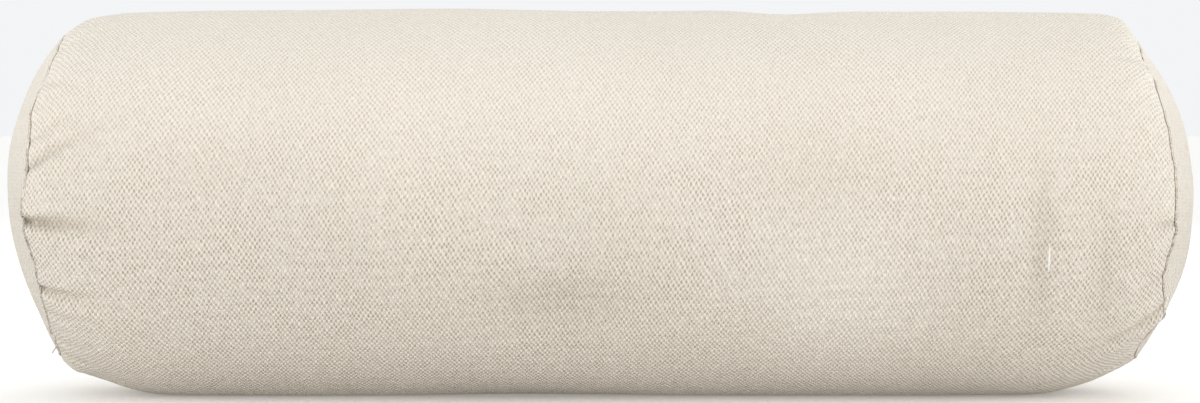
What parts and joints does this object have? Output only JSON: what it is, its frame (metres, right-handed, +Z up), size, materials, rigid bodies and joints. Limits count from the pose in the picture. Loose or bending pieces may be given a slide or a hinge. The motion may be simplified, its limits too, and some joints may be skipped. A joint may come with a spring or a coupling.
{
  "type": "bolster pillow",
  "caption": "Round bolster pillow: a zipped woven slip cover with domed ends over a batting-wrapped foam insert.",
  "frame": {"origin": "under the middle of the bolster, on the flat strip that it rests on", "axes": "+X along the bolster, to the end where the closed zip has its slider; +Z up; the front faces -Y and the zip runs along the back, 10 degrees above level"},
  "size_m": [0.63, 0.2073, 0.203],
  "materials": {
    "cover_fabric": "matte",
    "seam_thread": "matte",
    "ticking": "matte",
    "ticking_thread": "matte",
    "foam": "matte",
    "batting": "matte",
    "zip_tape": "matte",
    "zip_coil": "satin",
    "zip_metal": "satin"
  },
  "bodies": {
    "bolster": {"cover_body_panel": "cover_fabric", "cover_left_end_panel": "cover_fabric", "cover_right_end_panel": "cover_fabric", "cover_left_seam_thread": "seam_thread", "cover_right_seam_thread": "seam_thread", "body_seam_thread_left": "seam_thread", "body_seam_thread_right": "seam_thread", "zip_upper_stitching": "seam_thread", "zip_lower_stitching": "seam_thread", "insert_body_ticking": "ticking", "insert_left_end_ticking": "ticking", "insert_right_end_ticking": "ticking", "insert_left_seam_thread": "ticking_thread", "insert_right_seam_thread": "ticking_thread", "insert_closing_seam_thread": "ticking_thread", "foam_core": "foam", "batting_wrap": "batting", "left_end_pad": "batting", "right_end_pad": "batting", "zip_upper_tape": "zip_tape", "zip_lower_tape": "zip_tape", "zip_upper_coil": "zip_coil", "zip_lower_coil": "zip_coil", "zip_upper_top_stop": "zip_metal", "zip_lower_top_stop": "zip_metal", "zip_bottom_stop": "zip_metal"},
    "slider": {"zip_slider": "zip_metal"},
    "puller": {"zip_puller": "zip_metal"}
  },
  "joints": [
    {"name": "zip_slide", "type": "slide", "parent": "bolster", "child": "slider", "axis": [-1, 0, 0], "range_m": [0, 0.416]},
    {"name": "puller_flip", "type": "hinge", "parent": "slider", "child": "puller", "pos_m": [0.209, 0.10232, 0.11804], "axis": [0, 0.1736, -0.9848], "range_deg": [0, 178]}
  ]
}
